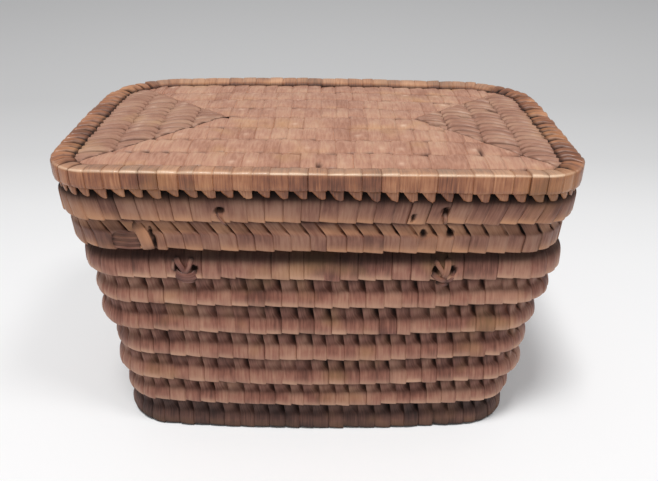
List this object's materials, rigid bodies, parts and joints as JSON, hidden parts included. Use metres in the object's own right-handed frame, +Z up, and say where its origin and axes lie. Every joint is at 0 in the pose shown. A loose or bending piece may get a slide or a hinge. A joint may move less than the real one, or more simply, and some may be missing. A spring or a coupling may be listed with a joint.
{
  "type": "lidded coiled basket",
  "caption": "Rectangular coiled storage basket with tapering walls and a lift-off lid that drops over a raised inner coil.",
  "frame": {"origin": "centre of the underside of the basket, on the surface it stands on", "axes": "+Z up, +X along the length, the long side with the lacing ties faces -Y"},
  "size_m": [0.193, 0.1168, 0.1247],
  "materials": {
    "body_wall_root": "satin",
    "base_root": "matte",
    "flange_root": "matte",
    "lid_wall_root": "satin",
    "rim_root": "satin",
    "lid_panel_root": "satin",
    "tie_root": "matte"
  },
  "bodies": {
    "basket": {"base_core_back": "base_root", "base_core_front": "base_root", "base_ring_1": "base_root", "base_ring_2": "base_root", "body_course_1": "body_wall_root", "body_course_2": "body_wall_root", "body_course_3": "body_wall_root", "body_course_4": "body_wall_root", "body_course_5": "body_wall_root", "body_course_6": "body_wall_root", "body_course_7": "body_wall_root", "mouth_flange": "flange_root", "tie_left": "tie_root", "tie_right": "tie_root"},
    "lid": {"lid_core_back": "lid_panel_root", "lid_core_front": "lid_panel_root", "lid_course_1": "lid_wall_root", "lid_course_2": "lid_wall_root", "lid_rim": "rim_root", "lid_ring_1": "lid_panel_root", "lid_ring_2": "lid_panel_root", "lid_ring_3": "lid_panel_root"}
  },
  "joints": [
    {"name": "lid_lift", "type": "slide", "parent": "basket", "child": "lid", "axis": [0, 0, 1], "range_m": [0, 0.08]}
  ]
}
